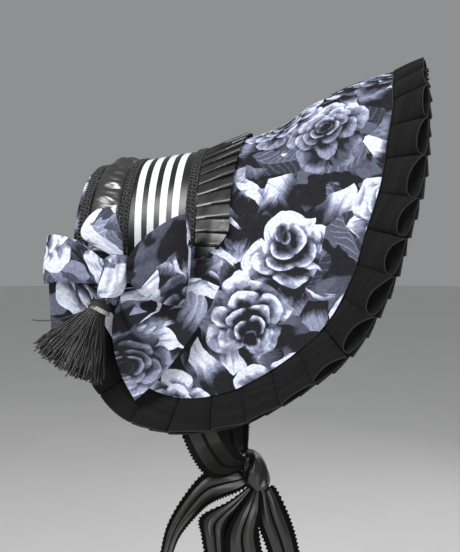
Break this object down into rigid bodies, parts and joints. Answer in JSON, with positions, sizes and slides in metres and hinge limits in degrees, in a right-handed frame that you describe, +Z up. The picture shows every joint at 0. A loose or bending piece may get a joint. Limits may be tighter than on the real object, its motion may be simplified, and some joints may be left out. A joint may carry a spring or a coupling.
{
  "type": "frilled bonnet headdress",
  "caption": "Worn bonnet with a wide print brim edged in black box pleats, banded crown, side bow with tassel, and ribbon ties knotted under the chin.",
  "frame": {"origin": "inside of the crown at its top, where the bonnet sits on a head", "axes": "+Z up, the wearer faces -Y, +X to the wearer's left"},
  "size_m": [0.2624, 0.2767, 0.405],
  "materials": {
    "print_cotton": "matte printed cotton",
    "black_cotton": "matte black cotton",
    "black_satin": "soft satin sheen",
    "striped_satin": "satin stripes",
    "braid_yarn": "looped gimp",
    "tie_satin": "satin with matte edges",
    "tassel_thread": "silky thread",
    "antique_metal": "antique silver tone"
  },
  "bodies": {
    "root": {"crown": "print_cotton", "crown_back": "print_cotton", "brim": "print_cotton", "brim_frill": "black_cotton", "satin_band": "black_satin", "satin_frill": "black_satin", "striped_ribbon": "striped_satin", "braid_front": "braid_yarn", "braid_middle": "braid_yarn", "braid_back": "braid_yarn", "bow_knot": "print_cotton", "bow_loop_right": "print_cotton", "bow_loop_left": "print_cotton", "bow_loop_upper": "print_cotton", "bow_tail_right": "print_cotton", "bow_tail_left": "print_cotton", "tassel_cap": "antique_metal", "tassel_skirt": "tassel_thread", "tie_strap_right": "tie_satin", "tie_strap_left": "tie_satin", "tie_knot": "tie_satin", "tie_loop_front": "tie_satin", "tie_loop_back": "tie_satin", "tie_tail_front": "tie_satin", "tie_tail_back": "tie_satin"}
  },
  "joints": []
}
